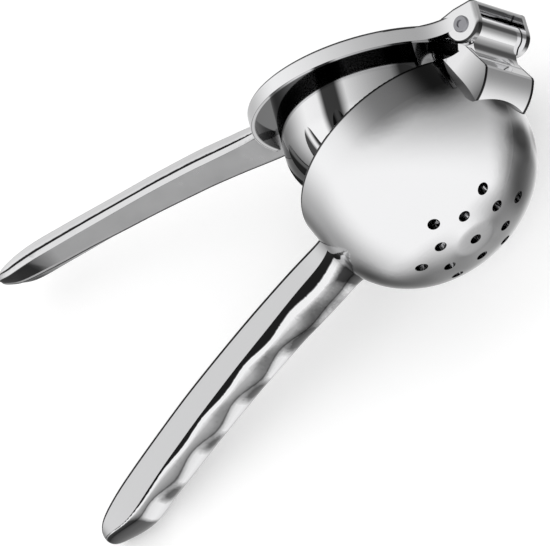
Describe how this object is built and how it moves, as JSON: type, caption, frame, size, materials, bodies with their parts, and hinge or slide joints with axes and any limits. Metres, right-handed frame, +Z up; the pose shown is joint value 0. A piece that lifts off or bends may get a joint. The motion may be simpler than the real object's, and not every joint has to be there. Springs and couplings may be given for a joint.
{
  "type": "hinged lemon squeezer",
  "caption": "Two-handled steel squeezer: a perforated half-round bowl on a finger-grooved handle, hinged to a plate with a fluted pressing cup on a ribbed handle.",
  "frame": {"origin": "bottom centre of the bounding box; the squeezer lies on its side on the plane z = 0, a quarter open, touching at the bowl's side, the plate's edge and the tip of the lower handle", "axes": "+X from the handle tips towards the hinge end, +Y from the bowl towards the opened press, +Z up, close to the hinge pin's line, which leans about 12 degrees from it"},
  "size_m": [0.2326, 0.1518, 0.0833],
  "materials": {
    "polished_steel": "mirror-polished stainless steel",
    "drawn_steel": "drawn and polished stainless steel sheet",
    "pin_steel": "turned stainless steel with peened ends"
  },
  "bodies": {
    "strainer": {"strainer_bowl": "drawn_steel", "lower_handle": "polished_steel", "hinge_neck": "polished_steel", "hinge_knuckle": "polished_steel"},
    "press": {"press_plate": "polished_steel", "press_cup": "drawn_steel", "handle_cap": "polished_steel", "handle_web": "polished_steel", "near_ear": "polished_steel", "far_ear": "polished_steel", "hinge_bridge": "polished_steel", "hinge_boss": "polished_steel", "hinge_pin": "pin_steel"}
  },
  "joints": [
    {"name": "press_hinge", "type": "hinge", "parent": "strainer", "child": "press", "pos_m": [0.10578, -0.03109, 0.04922], "axis": [0.194, 0.0457, -0.9799], "range_deg": [-22, 120]}
  ]
}
